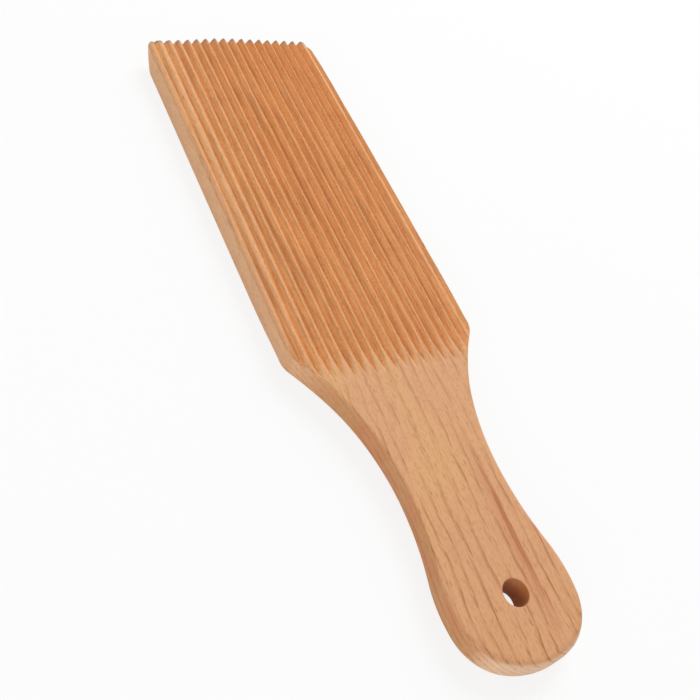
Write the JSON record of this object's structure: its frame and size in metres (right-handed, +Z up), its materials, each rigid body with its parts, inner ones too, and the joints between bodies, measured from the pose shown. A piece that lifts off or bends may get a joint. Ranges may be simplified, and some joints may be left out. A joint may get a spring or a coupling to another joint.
{
  "type": "gnocchi board",
  "caption": "Wooden gnocchi board: a flat rectangular blade with parallel V ridges, narrowing to a rounded handle with a hanging hole.",
  "frame": {"origin": "centre of the bounding box at the flat face that the board rests on", "axes": "+Y along the board towards the ridged end, +X across it, +Z up through the ridges"},
  "size_m": [0.068, 0.25, 0.009],
  "materials": {
    "beech": "fine-sanded bare beech"
  },
  "bodies": {
    "root": {"gnocchi_board": "beech"}
  },
  "joints": []
}
